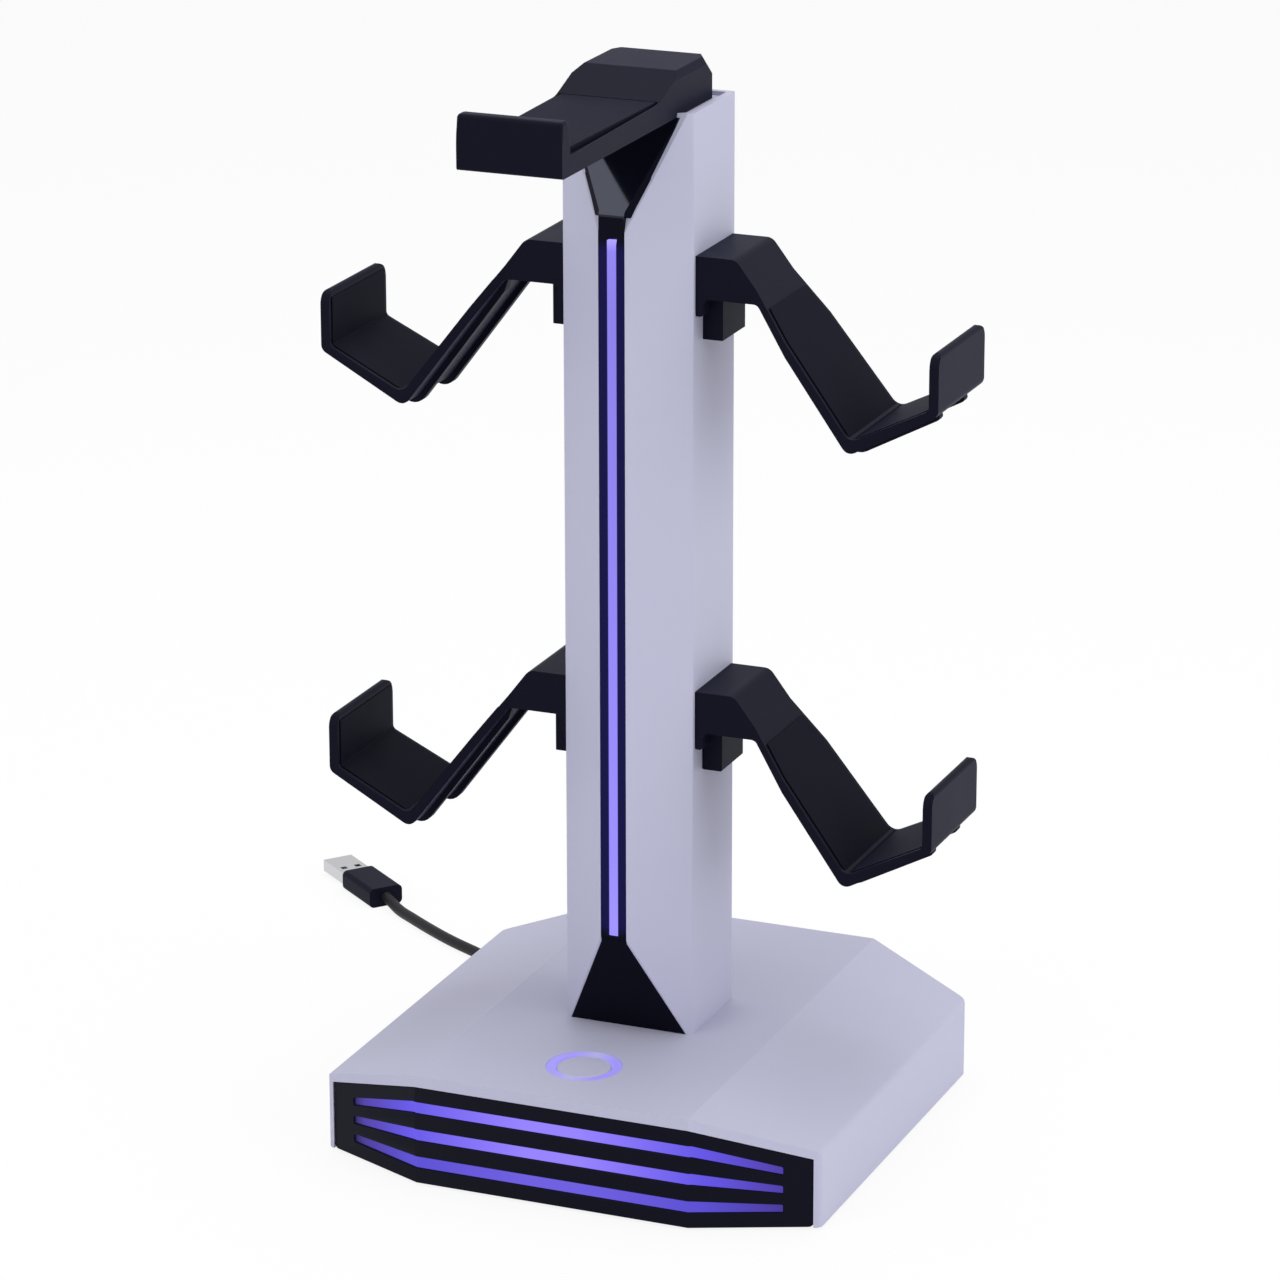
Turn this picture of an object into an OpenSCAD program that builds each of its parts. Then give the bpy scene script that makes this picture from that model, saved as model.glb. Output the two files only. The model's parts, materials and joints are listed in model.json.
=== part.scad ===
// Stand for four game controllers and a headset: a white lit post on a wide base,
// four black cradles on its sides, a black hanger on top and a USB lead behind.
// The origin is on the table, midway between the hanger's lip and the base's back.
// +X is to the right, +Y to the back, +Z up. All sizes are millimetres.

/* [Base] */
// Width of the base across its side walls
base_w = 182; // [174:1:196]
// Width of the flat middle of the base's top
base_mid_w = 100; // [96:1:108]
// Height of the flat middle above the table
base_h = 40.6; // [40:0.2:46]
// Height of the side walls' top edge above the table
base_side_h = 28.2; // [27.4:0.2:29.4]
// How far the base reaches in front of the post's front corners
base_front = 70.4; // [66:0.2:76]
// How far the base reaches behind the post's front corners
base_rear = 108.8; // [104:0.2:114]
// How far the ends of the base's front are swept back
base_sweep = 17.8; // [14:0.2:20]
// Depth of the chamfers at the base's back
base_chamfer = 14.5; // [10:0.5:20]
// Radius of the base's upright corners
base_corner_r = 5; // [3:0.5:8]
// Thickness of the base's side walls
base_wall = 2.4; // [2:0.1:3]
// Thickness of the base's roof
roof_t = 4.1; // [3.6:0.1:4.4]
// Thickness of the black plate under the base
plate_t = 2.5; // [2:0.1:3]
// Gap between the table and that plate, which the feet bridge
ground_gap = 1; // [0.6:0.1:1.4]
// Radius of the rubber feet
foot_r = 9; // [7:0.5:11]

/* [Front lights] */
// Thickness of the black panel across the base's front
panel_t = 3; // [2.5:0.1:4]
// Height of each light stripe in the middle of the panel
stripe_h = 4.1; // [3.4:0.1:4.6]
// Height of each light stripe at its ends
stripe_end_h = 2.7; // [2:0.1:3.2]
// Length of the level middle stretch of the stripes
stripe_mid_w = 102; // [96:1:108]
// Distance from the stripes' ends to the base's side walls
stripe_margin = 12; // [10:0.5:16]
// Height of the lowest stripe's middle above the table
stripe_low_z = 8.6; // [8.2:0.1:9]
// Distance from stripe to stripe in the middle
stripe_pitch = 10; // [9.4:0.1:10.4]
// Distance from stripe to stripe at the ends
stripe_end_pitch = 6.8; // [6.2:0.1:7.2]
// How far the light guides lie back in their slots
stripe_recess = 0.7; // [0.3:0.1:1.2]

/* [Mode button] */
// Distance of the button's middle in front of the post's front corners
button_y = 40.6; // [37:0.2:44]
// Radius of the button's cap
button_r = 9.6; // [8.6:0.1:10]
// Outer radius of the light ring around it
ring_r = 13; // [12.4:0.1:14.4]
// How far the button goes down
button_travel = 1.2; // [0.8:0.1:1.5]

/* [Post] */
// Width of the post
post_w = 47; // [45:0.5:51]
// Depth of the post's side walls
post_d = 36.4; // [35:0.2:40]
// Height of the post's top edge above the table
post_top = 364.8; // [356:0.2:374]
// How far the post's black band stands in front of its front corners
prow = 14.4; // [12:0.2:16]
// Width of the black band
band_w = 9.4; // [8.6:0.1:10.4]
// Thickness of the post's white walls
post_wall = 2.2; // [1.8:0.1:2.6]
// Height of the sloping black facets at the post's foot
facet_h = 37.2; // [33:0.2:41]
// Thickness of the sloping black facets
facet_t = 2; // [1.6:0.1:2.4]
// Width of the light bar in the black band
bar_w = 3.2; // [2.6:0.1:3.8]
// How far the light bar lies back in the band
bar_recess = 3; // [2:0.1:3.6]
// Width of the square steel tube inside the post
core_w = 24; // [22:0.5:26]
// Wall of that tube
core_wall = 1.6; // [1.2:0.1:2.4]

/* [Cradle arms] */
// Height of the upper arms' top face above the table
arm_top = 316.5; // [308:0.5:320]
// Distance from the upper arms down to the lower ones
arm_spacing = 151.8; // [140:0.2:160]
// Width of an arm at the post
arm_root_w = 33.6; // [32:0.2:35]
// Width of an arm at its lowest corner
arm_elbow_w = 47.6; // [46:0.2:50]
// Width of an arm at its lip
arm_lip_w = 45.6; // [43:0.2:48]
// Thickness of an arm's strap
strap_t = 2.6; // [2.4:0.1:3.2]
// Thickness of an arm's lip
lip_t = 3.3; // [2.8:0.1:4]
// Distance from the post's side to the lip's outer face
arm_reach = 87.7; // [84:0.1:94]
// Distance from the post's side to the arm's lowest corner
elbow_reach = 56.6; // [53:0.2:60]
// Drop from the arm's top face to its lowest corner
elbow_drop = 60.7; // [57:0.2:64]
// Drop from the arm's top face to the lip's foot
lip_drop = 44.2; // [42:0.2:46]
// Height of the lip above its foot
lip_h = 20.7; // [18:0.2:24]
// Height of the arm's block at the post
block_h = 14.5; // [13:0.2:16]
// Height of the ribs under the strap
rib_h = 2; // [1.6:0.1:2.6]
// Width of each rib
rib_w = 3.4; // [2.6:0.2:5]
// Thickness of the rubber pad let into the strap
pad_t = 1.4; // [1:0.1:1.8]
// Width of the strap's border beside the pad
pad_border = 1.5; // [1.2:0.1:2.2]

/* [Headset hanger] */
// How far the hanger's lip stands in front of the post's front corners
hanger_reach = 96.8; // [92:0.2:102]
// Width of the hanger
hanger_w = 36.3; // [34:0.1:38]
// Depth of the hanger behind the post's front corners
hanger_rear = 31.5; // [30:0.1:33]
// Height of the hanger's bar from its underside to the saddle
saddle_h = 7.9; // [7:0.1:9]
// Height of the hanger's block above its underside
hanger_block_h = 14.8; // [13:0.1:17]
// Height of the hanger's lip above its underside
hanger_lip_h = 18.2; // [16:0.1:20]
// Thickness of the hanger's lip
hanger_lip_t = 6.4; // [5:0.1:8]
// Thickness of the soft pad on the saddle
saddle_pad_t = 1.8; // [1.2:0.1:2.4]

/* [USB lead] */
// Diameter of the lead
cord_d = 4.2; // [4:0.1:4.4]
// Length of the strain relief behind the base
relief_l = 12; // [10:0.5:14]

/* [Fits] */
// Gap around pieces that are let into others
fit_gap = 0.15; // [0.1:0.05:0.25]
// Gap around the moving button
run_gap = 0.3; // [0.2:0.05:0.4]
// Radius of the small screws
screw_r = 1.5; // [1.3:0.1:1.8]

/* [Hidden] */

WHITE = "gainsboro";
BLACK = "#2b2b33";
GLOW = "#7a68f0";
BOARD = "#20503a";
STEEL = "silver";
EPS = 0.5;
RIGHT = 1;
LEFT = -1;

// The post's front corners lie here, so that the origin is midway from lip to back
post_y = (hanger_reach - base_rear) / 2;

// Heights inside the base
plate_z = ground_gap;
floor_z = plate_z + plate_t;
roof_z = base_h - roof_t;
edge_t = base_wall;
ballast_t = 6;
ballast_margin = 33;
ballast_w = base_w - 2 * ballast_margin;
ballast_d = 84;
ballast_y = base_rear - ballast_d - 16;
ballast_screw_x = ballast_w / 2 - 10;
head_r = 4;
head_depth = 1.4;
head_sink = 0.2;
shank_r = 2;
board_t = 1.6;
boss_x = 24;
boss_y = 12;
base_radii = [0, 0, base_corner_r / 2, base_corner_r, 3, 3, base_corner_r, base_corner_r / 2];
section_radii = [0, 0, 2.5, 0, 0, 2.5];
foot_h = ground_gap + 1.2;
foot_side_inset = 22;
foot_front_inset = 20;
foot_rear_inset = 18;
foot_x = base_w / 2 - foot_side_inset;
foot_front = -base_front + base_sweep + foot_front_inset;
foot_rear = base_rear - base_chamfer - foot_rear_inset;

// Front lights
stripe_w = base_w - 2 * stripe_margin;
stripe_board_margin = 3;
panel_radii = [1.5, 1.5, 2, 0, 0, 2];

// Mode button, from its cap down to its switch
button_top = base_h - 0.3;
ring_flange_t = 1.5;
ring_bottom = roof_z - ring_flange_t;
ring_hole_r = button_r + run_gap;
ring_flange_r = ring_r + 2;
cap_t = 3.5;
catch_r = ring_hole_r + 1.6;
catch_t = 1.5;
catch_top = ring_bottom - run_gap / 2;
stem_r = 1.6;
switch_h = 6;
switch_w = 9;
board_z = 20;
stem_bottom = board_z + board_t + button_travel + 1;

// Post
half_w = post_w / 2;
half_band = band_w / 2;
front_slope = prow / (half_w - half_band);
inner_w = half_w - post_wall;
facet_foot = 1.3;
low_notch = base_h + facet_h;
high_notch = post_top - facet_h - 1.8;
rim_drop = 1.4;
cap_top = post_top - rim_drop;
cap_t_post = 2;
core_y = 7;
core_d = 22;
core_bottom = floor_z + ballast_t;
core_top = cap_top - cap_t_post;
skin = 0.6;
back_w = 27.6;
bar_depth = 3.4;
bar_low = low_notch + 0.6;
bar_high = high_notch - 2.4;
facet_top_y = 1.5;
facet_turn = high_notch + 6;
post_edge_r = 0.8;
back_rib_heights = [base_h + 40, post_top - 60];

// The sloping faces at the foot and head of the front, in Y and Z, each with the post on its left
low_facet = [[-prow, low_notch], [-facet_foot, base_h]];
high_facet = [[facet_top_y, cap_top], [-prow, facet_turn]];

// Arms, measured out from the post's side, across from their middle and down from their top
arm_y = post_d / 2;
block_reach = 21.9;
slope_dx = elbow_reach - block_reach;
slope_tan = (elbow_drop - block_h) / slope_dx;
slope_len = sqrt(1 + slope_tan * slope_tan);
top_reach = block_reach - block_h / slope_tan + strap_t * slope_len / slope_tan;
elbow_rise = 4.7;
flare_reach = 33.5;
flare_w = 43.2;
inner_reach = arm_reach - lip_t;
riser_tan = (elbow_drop - lip_drop) / (arm_reach - elbow_reach);
inner_elbow = [elbow_reach + 0.7, elbow_rise - elbow_drop];
lip_foot = [inner_reach, -lip_drop + 1.6];
flange_reach = 2.6;
flange_drop = 20.5;
tab_t = 7.2;
tab_w = 20.5;
tab_drop = 30;
tab_top = 7;
neck_w = 15;
neck_low = 19;
rib_offset = 12.2;
pad_start = block_reach + 4.2;
lip_r = 5;

// Hanger
hanger_z = cap_top;
saddle_back = 18;
block_front = 2;
block_edge = 1.8;
block_corner = 6.5;
side_corner = 2;
rim_low = 1.4;
rim_high = 0.4;
rim_t = 0.6;
pad_front = -hanger_reach + hanger_lip_t + fit_gap;
pad_back = -saddle_back + 1.6;
hanger_screw_y = [12, 24];

// Lead
coil_x = -40;
coil_y = 144;
coil_inner_turn = 4 * cord_d;
coil_across = 4;
coil_layers = 2;
coil_mid_r = coil_inner_turn + (coil_across - 1) * cord_d;
gland_x = coil_x + coil_mid_r;
gland_z = 9;
base_back_y = post_y + base_rear;
lead_route = [
    [gland_x, base_back_y + relief_l, gland_z],
    [gland_x, base_back_y + relief_l + 5, 8],
    [gland_x, 127, 5],
    [gland_x, 133, 3],
    [gland_x, 138, 2.1],
    [gland_x, 144, 2.1]
];
tail_route = [
    [coil_x - coil_mid_r, 144, 6.3],
    [-69.6, 138, 6],
    [-70.6, 131, 5],
    [-74, 124, 3.6],
    [-80, 119, 2.5],
    [-88, 116.4, 2.1],
    [-98, 117, 2.1],
    [-108, 120.6, 2.1],
    [-119, 126.4, 2.1],
    [-131, 133, 2.1],
    [-143, 140.7, 2.1],
    [-155, 149.2, 2.1],
    [-163, 155.2, 2.1],
    [-168, 159.2, 3],
    [-172, 162.4, 3.9]
];
plug_w = 14;
plug_h = 7.8;
plug_l = 24;
shell_w = 12;
shell_h = 4.5;
shell_l = 18.75;
shell_t = 0.35;
plug_turn = 141.4;
plug_at = tail_route[len(tail_route) - 1];

function unit(v) = v / norm(v);
function left_of(v) = [-v[1], v[0]];

// A vertex of an outline moved in by d, between the edges before and after it
function moved_in(p, before, after, d) =
    let (a = left_of(unit(p - before)), b = left_of(unit(after - p)))
    p + d * (a + b) / (1 + a * b);
function inset(points, d) =
    let (n = len(points))
    [for (i = [0 : n - 1]) moved_in(points[i], points[(i + n - 1) % n], points[(i + 1) % n], d)];

// A corner of an outline as an arc of radius r
function arc_at(p, before, after, r, steps) =
    let (
        u = unit(before - p),
        v = unit(after - p),
        half = acos(u * v) / 2,
        centre = p + unit(u + v) * r / sin(half),
        from = p + u * r / tan(half) - centre,
        turn = 180 - 2 * half,
        way = cross(u, v) < 0 ? 1 : -1
    )
    [for (k = [0 : steps])
        let (t = way * turn * k / steps)
        centre + [from[0] * cos(t) - from[1] * sin(t), from[0] * sin(t) + from[1] * cos(t)]];
function rounded(points, radii, steps = 5) =
    let (n = len(points))
    [for (i = [0 : n - 1])
        each (radii[i] == 0
            ? [points[i]]
            : arc_at(points[i], points[(i + n - 1) % n], points[(i + 1) % n], radii[i], steps))];

// Pieces of the post, base and hanger are drawn from the post's front corners
module at_post() {
    translate([0, post_y, 0]) children();
}

// An outline in X and Z, made solid from y0 to y1
module along_y(points, y0, y1) {
    translate([0, y1, 0])
        rotate([90, 0, 0])
            linear_extrude(y1 - y0) polygon(points);
}

// An outline in Y and Z, made solid across the width w
module along_x(points, w) {
    rotate([90, 0, 90])
        translate([0, 0, -w / 2])
            linear_extrude(w) polygon(points);
}

module mirrored(side) {
    if (side == LEFT)
        mirror([1, 0, 0]) children();
    else
        children();
}

function base_outline() = [
    [-base_mid_w / 2, -base_front],
    [base_mid_w / 2, -base_front],
    [base_w / 2, -base_front + base_sweep],
    [base_w / 2, base_rear - base_chamfer],
    [base_mid_w / 2, base_rear],
    [-base_mid_w / 2, base_rear],
    [-base_w / 2, base_rear - base_chamfer],
    [-base_w / 2, -base_front + base_sweep]
];

// The base's cross-section, less a wall and less a roof that thins towards the sides
function base_section(wall, mid_t, side_t, bottom) = [
    [-base_w / 2 + wall, bottom],
    [base_w / 2 - wall, bottom],
    [base_w / 2 - wall, base_side_h - side_t],
    [base_mid_w / 2, base_h - mid_t],
    [-base_mid_w / 2, base_h - mid_t],
    [-base_w / 2 + wall, base_side_h - side_t]
];

// The hollow inside the base, open at the front
function base_hollow(wall) =
    let (back = inset(base_outline(), wall))
    [
        [-base_w / 2 + wall, -base_front - EPS],
        [base_w / 2 - wall, -base_front - EPS],
        back[3], back[4], back[5], back[6]
    ];

module base_shell() {
    color(WHITE) at_post() difference() {
        intersection() {
            linear_extrude(base_h) polygon(rounded(base_outline(), base_radii));
            along_y(rounded(base_section(0, 0, 0, plate_z), section_radii), -base_front - 1, base_rear + 1);
        }
        intersection() {
            linear_extrude(base_h) polygon(base_hollow(base_wall));
            along_y(base_section(base_wall, roof_t, edge_t, -EPS), -base_front - 2, base_rear);
        }
        translate([0, -button_y, 0]) cylinder(h = base_h + EPS, r = ring_r + fit_gap, $fn = 96);
        translate([-core_w / 2 - 1, core_y - 1, roof_z - EPS]) cube([core_w + 2, core_d + 2, roof_t + 2 * EPS]);
        gland_bore();
    }
}

module gland_bore() {
    translate([gland_x, base_rear - base_wall - EPS, gland_z])
        rotate([-90, 0, 0]) cylinder(h = base_wall + 2 * EPS, r = cord_d / 2 + 1.5, $fn = 48);
}

module base_plate() {
    inner = base_wall + fit_gap;
    color(BLACK) at_post() difference() {
        union() {
            translate([0, 0, plate_z]) linear_extrude(plate_t) polygon(plate_outline(inner));
            for (x = [-1, 1], y = [-1, 1])
                translate([x * boss_x, y * boss_y - button_y, plate_z])
                    cylinder(h = board_z - plate_z, r = 2 * screw_r, $fn = 32);
        }
        for (x = [-1, 1], y = [foot_front, foot_rear])
            translate([x * foot_x, y, -EPS])
                cylinder(h = foot_h + EPS, r = foot_r + fit_gap, $fn = 64);
        for (x = [-1, 1], y = [-1, 1])
            translate([x * ballast_screw_x, ballast_screw_y(y), 0]) {
                cylinder(h = floor_z + EPS, r = shank_r + fit_gap, $fn = 32);
                cylinder(h = plate_z + head_depth, r = head_r + fit_gap, $fn = 32);
            }
    }
}

function ballast_screw_y(side) = ballast_y + ballast_d / 2 + side * (ballast_d / 2 - 10);

// The plate stops behind the front panel
function plate_outline(wall) =
    let (back = inset(base_outline(), wall), front = inset(base_outline(), panel_t + stripe_recess + fit_gap))
    [
        front[0], front[1],
        [base_w / 2 - wall, front[2][1]],
        back[3], back[4], back[5], back[6],
        [-base_w / 2 + wall, front[7][1]]
    ];

module ballast() {
    color(STEEL) at_post() difference() {
        translate([-ballast_w / 2, ballast_y, floor_z]) cube([ballast_w, ballast_d, ballast_t]);
        for (x = [-1, 1], y = [-1, 1])
            translate([x * ballast_screw_x, ballast_screw_y(y), floor_z - EPS])
                cylinder(h = ballast_t + 2 * EPS, r = shank_r + fit_gap, $fn = 32);
    }
}

module base_screws() {
    color(STEEL) at_post()
        for (x = [-1, 1], y = [-1, 1])
            translate([x * ballast_screw_x, ballast_screw_y(y), plate_z + head_sink]) {
                cylinder(h = head_depth - head_sink, r = head_r, $fn = 32);
                cylinder(h = plate_t - head_sink + ballast_t, r = shank_r, $fn = 32);
            }
}

module rubber_foot(side, y) {
    color(BLACK) at_post()
        translate([side * foot_x, y, 0]) cylinder(h = foot_h, r = foot_r, $fn = 64);
}

// A light stripe's outline: level in the middle, tapering and drawing together at its ends
function stripe_outline(i, grow) =
    let (
        mid = stripe_low_z + i * stripe_pitch,
        end = stripe_low_z - 0.8 + i * stripe_end_pitch,
        h = stripe_h / 2 + grow,
        e = stripe_end_h / 2 + grow,
        x = stripe_mid_w / 2,
        w = stripe_w / 2 + grow
    )
    [
        [-w, end - e], [-x, mid - h], [x, mid - h], [w, end - e],
        [w, end + e], [x, mid + h], [-x, mid + h], [-w, end + e]
    ];

// A band that follows the base's front, from one depth behind it to another
module front_band(near, far, half_width) {
    outer = inset(base_outline(), near);
    inner = inset(base_outline(), far);
    slope = base_sweep / (base_w / 2 - base_mid_w / 2);
    near_y = outer[1][1] + (half_width - outer[1][0]) * slope;
    far_y = inner[1][1] + (half_width - inner[1][0]) * slope;
    linear_extrude(base_h) polygon([
        outer[0], outer[1], [half_width, near_y],
        [half_width, far_y], inner[1], inner[0],
        [-half_width, far_y], [-half_width, near_y]
    ]);
}

module front_panel() {
    side = base_wall + fit_gap;
    face = 0.4;
    color(BLACK) at_post() difference() {
        intersection() {
            front_band(face, face + panel_t, base_w / 2 - side);
            along_y(
                rounded(base_section(side, roof_t + fit_gap, edge_t + fit_gap, plate_z), panel_radii),
                -base_front - 1, base_rear
            );
        }
        for (i = [0 : 2])
            along_y(stripe_outline(i, 0), -base_front - 1, 0);
    }
}

module light_stripe(i) {
    color(GLOW) at_post() intersection() {
        front_band(0.4 + stripe_recess, 0.4 + panel_t, base_w / 2 - base_wall);
        along_y(stripe_outline(i, -fit_gap / 3), -base_front - 1, 0);
    }
}

// The board behind the stripes, with its row of light chips
module stripe_board() {
    y = -base_front + 0.4 + panel_t;
    half = base_mid_w / 2 - stripe_board_margin;
    top = stripe_low_z + 2 * stripe_pitch + stripe_h / 2;
    color(BOARD) at_post() difference() {
        translate([-half, y, floor_z]) cube([2 * half, board_t, top - floor_z]);
        for (x = [-1, 1])
            translate([x * (half - 5), y - EPS, stripe_low_z + stripe_pitch / 2])
                rotate([-90, 0, 0]) cylinder(h = board_t + 2 * EPS, r = screw_r, $fn = 24);
    }
}

module main_board() {
    color(BOARD) at_post() difference() {
        translate([-boss_x - 8, -button_y - boss_y - 5, board_z])
            cube([2 * boss_x + 16, 2 * boss_y + 10, board_t]);
        for (x = [-1, 1], y = [-1, 1])
            translate([x * boss_x, y * boss_y - button_y, board_z - EPS])
                cylinder(h = board_t + 2 * EPS, r = screw_r, $fn = 24);
    }
}

module mode_switch() {
    color(BLACK) at_post() translate([0, -button_y, board_z + board_t]) difference() {
        translate([-switch_w / 2, -switch_w / 2, 0]) cube([switch_w, switch_w, switch_h]);
        translate([0, 0, 0.6]) cylinder(h = switch_h, r = stem_r + run_gap, $fn = 48);
    }
}

module mode_button() {
    color(WHITE) at_post() translate([0, -button_y, 0]) rotate_extrude($fn = 96) polygon([
        [0, button_top], [button_r - 0.6, button_top], [button_r, button_top - 0.6],
        [button_r, catch_top], [catch_r, catch_top], [catch_r, catch_top - catch_t],
        [stem_r, catch_top - catch_t], [stem_r, stem_bottom], [0, stem_bottom]
    ]);
}

module button_ring() {
    color(GLOW) at_post() translate([0, -button_y, 0]) rotate_extrude($fn = 96) polygon([
        [ring_hole_r, ring_bottom], [ring_flange_r, ring_bottom], [ring_flange_r, roof_z],
        [ring_r, roof_z], [ring_r, base_h - 0.1], [ring_hole_r, base_h - 0.1]
    ]);
}

// Depth of the post's front, d inside its outer face, at the distance x from the middle
function front_y(x, d) = -prow + (x - half_band) * front_slope + d * sqrt(1 + pow(front_slope, 2));

// The slab behind a sloping face, longer by e at both ends
function slab(line, t, e) =
    let (along = unit(line[1] - line[0]), in = left_of(along))
    [line[0] - e * along, line[1] + e * along, line[1] + e * along + t * in, line[0] - e * along + t * in];

// A black facet plate inside the post's skin; g is the room that is cut around it
module facet_plate(line, g) {
    s = half_w - skin + g;
    b = half_band - fit_gap + g;
    intersection() {
        linear_extrude(post_top) polygon([
            [-b, -prow - g], [b, -prow - g], [b, front_y(b, skin - g)], [s, front_y(s, skin - g)], [s, arm_y],
            [-s, arm_y], [-s, front_y(s, skin - g)], [-b, front_y(b, skin - g)]
        ]);
        along_x(slab(line, facet_t + g, g), post_w);
    }
}

// One white half of the post: its swept front, its side and its return at the back
module post_side(side) {
    color(WHITE) at_post() mirrored(side) difference() {
        translate([0, 0, base_h]) linear_extrude(post_top - base_h) polygon([
            [half_band, -prow],
            each arc_at([half_w, 0], [half_band, -prow], [half_w, post_d], post_edge_r, 4),
            [half_w, post_d],
            [back_w / 2 + fit_gap, post_d],
            [back_w / 2 + fit_gap, post_d - post_wall],
            [inner_w, post_d - post_wall],
            [inner_w, front_y(inner_w, post_wall)],
            [half_band, front_y(half_band, post_wall)]
        ]);
        along_x([
            [-prow - 6, base_h - EPS], [-facet_foot, base_h - EPS], [-facet_foot, base_h],
            [-prow, low_notch], [-prow - 6, low_notch]
        ], post_w + 2);
        along_x([
            [-prow - 6, high_notch], [-prow, high_notch], [-facet_foot, post_top],
            [-facet_foot, post_top + EPS], [-prow - 6, post_top + EPS]
        ], post_w + 2);
        facet_plate(low_facet, fit_gap);
        facet_plate(high_facet, fit_gap);
        for (top = [arm_top, arm_top - arm_spacing])
            translate([inner_w - EPS, arm_y - neck_w / 2 - fit_gap, top - neck_low - fit_gap])
                cube([post_wall + 2 * EPS, neck_w + 2 * fit_gap, neck_low - tab_top + 2 * fit_gap]);
    }
}

// The black band with its sloping ends, and the ribs that carry it on the core
module post_spine() {
    b = half_band - fit_gap;
    body_back = -prow + bar_recess + bar_depth + board_t;
    color(BLACK) at_post() difference() {
        union() {
            translate([-b, -prow, low_notch]) cube([2 * b, body_back + prow, facet_turn - low_notch]);
            facet_plate(low_facet, 0);
            facet_plate(high_facet, 0);
            for (z = [low_notch + 20, (low_notch + high_notch) / 2, high_notch - 20])
                translate([-b, body_back - EPS, z]) cube([2 * b, core_y - body_back + EPS, 6]);
        }
        translate([-bar_w / 2 - fit_gap, -prow - 1, bar_low])
            cube([bar_w + 2 * fit_gap, bar_recess + bar_depth + 1, bar_high - bar_low]);
        translate([-half_band + 1.2, -prow + bar_recess + bar_depth, bar_low - 2])
            cube([2 * half_band - 2.4, board_t, bar_high - bar_low + 4]);
    }
}

module post_bar() {
    color(GLOW) at_post()
        translate([-bar_w / 2, -prow + bar_recess, bar_low + fit_gap])
            cube([bar_w, bar_depth, bar_high - bar_low - 2 * fit_gap]);
}

module post_board() {
    color(BOARD) at_post()
        translate([-half_band + 1.2 + fit_gap, -prow + bar_recess + bar_depth, bar_low - 2 + fit_gap])
            cube([2 * half_band - 2.4 - 2 * fit_gap, board_t - fit_gap, bar_high - bar_low + 4 - 2 * fit_gap]);
}

// The cover of the post's back, with two ribs that reach the core
module post_back() {
    color(WHITE) at_post() {
        translate([-back_w / 2, post_d - post_wall, base_h]) cube([back_w, post_wall, post_top - base_h]);
        for (z = back_rib_heights)
            translate([-6, core_y + core_d, z]) cube([12, post_d - post_wall - core_y - core_d, 8]);
    }
}

module post_cap() {
    front = facet_top_y + facet_t + 0.8;
    color(WHITE) at_post() difference() {
        translate([-inner_w + fit_gap, front, cap_top - cap_t_post])
            cube([2 * (inner_w - fit_gap), post_d - post_wall - fit_gap - front, cap_t_post]);
        for (y = hanger_screw_y)
            translate([0, y, cap_top - cap_t_post - EPS])
                cylinder(h = cap_t_post + 2 * EPS, r = screw_r + fit_gap, $fn = 32);
    }
}

// The steel tube from the ballast up to the cap
module post_core() {
    color(STEEL) at_post() translate([0, 0, core_bottom]) difference() {
        translate([-core_w / 2, core_y, 0]) cube([core_w, core_d, core_top - core_bottom]);
        translate([-core_w / 2 + core_wall, core_y + core_wall, -EPS])
            cube([core_w - 2 * core_wall, core_d - 2 * core_wall, core_top - core_bottom - 3 + EPS]);
        for (y = hanger_screw_y)
            translate([0, y, core_top - core_bottom - 3 - EPS])
                cylinder(h = 3 + 2 * EPS, r = screw_r + fit_gap, $fn = 32);
        for (side = [LEFT, RIGHT], top = [arm_top, arm_top - arm_spacing])
            translate([side * core_w / 2, arm_y, top - neck_low + 6 - core_bottom])
                rotate([0, 90, 0]) cylinder(h = 4, r = screw_r + fit_gap, center = true, $fn = 32);
    }
}

// The hanger in Y and Z: lip, saddle with its rims, slope and block, standing on the post's cap
function hanger_side() = rounded([
    [-hanger_reach, 0], [hanger_rear, 0], [hanger_rear, hanger_block_h], [block_front, hanger_block_h],
    [-saddle_back, saddle_h - rim_high], [-hanger_reach + hanger_lip_t, saddle_h - rim_low],
    [-hanger_reach + hanger_lip_t, hanger_lip_h], [-hanger_reach, hanger_lip_h]
], [1, 2, 3, 3, 14, 1, 2.4, 1.5]);

// A plan over the saddle, inset from the hanger's sides by one width at the lip and one behind, grown by g
function saddle_plan(at_lip, behind, g) = [
    [-hanger_w / 2 + at_lip, pad_front - g], [hanger_w / 2 - at_lip, pad_front - g],
    [hanger_w / 2 - behind, pad_back + g], [-hanger_w / 2 + behind, pad_back + g]
];

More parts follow.
